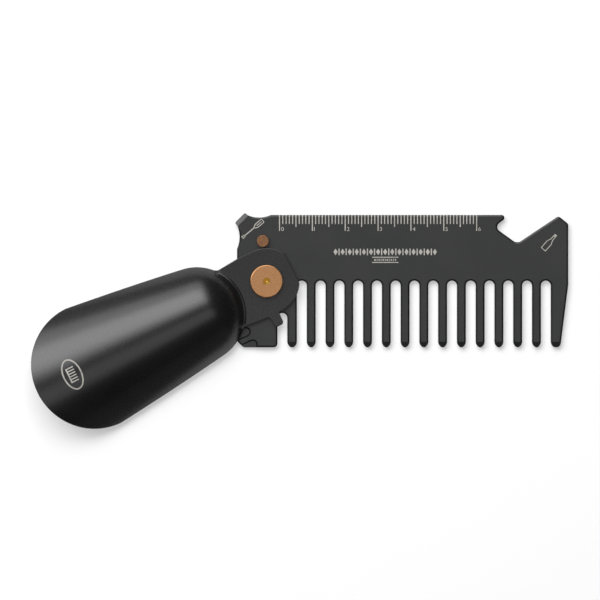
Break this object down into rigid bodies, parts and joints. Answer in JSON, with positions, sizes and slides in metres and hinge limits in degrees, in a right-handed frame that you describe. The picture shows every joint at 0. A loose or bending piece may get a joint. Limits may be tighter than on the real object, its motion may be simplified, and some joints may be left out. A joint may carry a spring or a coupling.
{
  "type": "folding beard comb with shoehorn",
  "caption": "Flat steel beard comb with a ruled edge, opener notch and screwdriver tip, and a domed shoehorn that folds over it on a riveted pivot.",
  "frame": {"origin": "on the pivot axis, on the comb plate's back face", "axes": "+X along the comb towards the opener end, +Y towards the ruled edge, +Z out of the comb's front face along the pivot"},
  "size_m": [0.1634, 0.0657, 0.0108],
  "materials": {
    "comb_coating": "satin black coating on steel plate",
    "horn_coating": "smooth satin black coating on pressed steel sheet",
    "copper": "fine brushed copper colour",
    "nylon": "matt black nylon",
    "spring_steel": "plain tempered spring steel",
    "etched_marks": "laser etched through the black coating to pale bare steel"
  },
  "bodies": {
    "comb": {"comb_plate": "comb_coating", "pivot_rivet": "copper", "stop_pin": "copper", "thrust_washer": "nylon", "disc_spring": "spring_steel"},
    "horn": {"shoehorn": "horn_coating"}
  },
  "joints": [
    {"name": "shoehorn_pivot", "type": "hinge", "parent": "comb", "child": "horn", "pos_m": [0, 0, 0.0029], "axis": [0, 0, 1], "range_deg": [-34, 154]}
  ]
}
